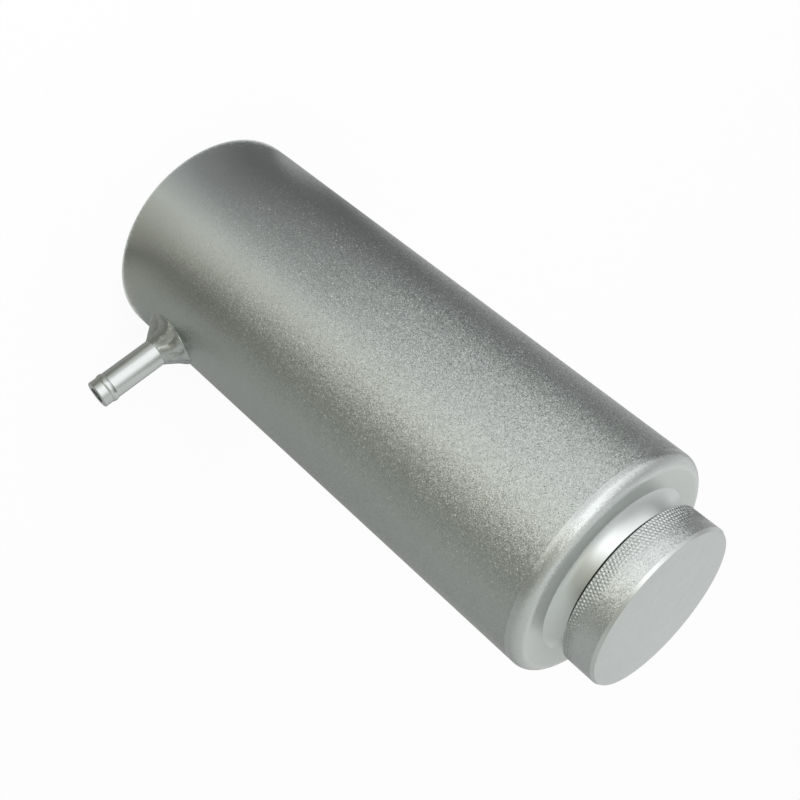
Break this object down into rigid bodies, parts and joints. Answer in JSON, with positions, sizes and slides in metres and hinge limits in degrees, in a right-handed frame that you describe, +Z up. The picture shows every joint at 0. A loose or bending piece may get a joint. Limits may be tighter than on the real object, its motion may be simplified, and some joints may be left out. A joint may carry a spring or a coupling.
{
  "type": "coolant expansion tank",
  "caption": "Round upright aluminium coolant expansion tank with a knurled screw cap on a turned filler neck and a hose spigot near its base.",
  "frame": {"origin": "centre of the flat base that the tank stands on", "axes": "+Z up the tank's axis to the cap, +X out along the hose spigot"},
  "size_m": [0.112, 0.08, 0.217],
  "materials": {
    "tank_metal": "bead blasted, clear coated, fine sparkle",
    "top_metal": "turned and lightly blasted, clear coated",
    "base_metal": "bead blasted, clear coated",
    "neck_metal": "turned, semi-polished",
    "cap_metal": "bead blasted with a knurled skirt",
    "spigot_metal": "bright drawn tube",
    "weld_metal": "weld bead, blasted over",
    "seal_rubber": "matt moulded"
  },
  "bodies": {
    "tank": {"tank_tube": "tank_metal", "top_plate": "top_metal", "bottom_plate": "base_metal", "filler_neck": "neck_metal", "neck_weld": "weld_metal", "hose_spigot": "spigot_metal", "spigot_weld": "weld_metal"},
    "seal": {"cap_seal": "seal_rubber"},
    "cap": {"filler_cap": "cap_metal"}
  },
  "joints": [
    {"name": "cap_lift", "type": "slide", "parent": "tank", "child": "seal", "axis": [0, 0, 1], "range_m": [0, 0.012]},
    {"name": "cap_turn", "type": "hinge", "parent": "seal", "child": "cap", "pos_m": [0, 0, 0.2051], "axis": [0, 0, 1], "range_deg": [0, 2160]}
  ],
  "couplings": [
    {"joint": "cap_lift", "follows": "cap_turn", "m_per_rad": 0.0003183}
  ]
}
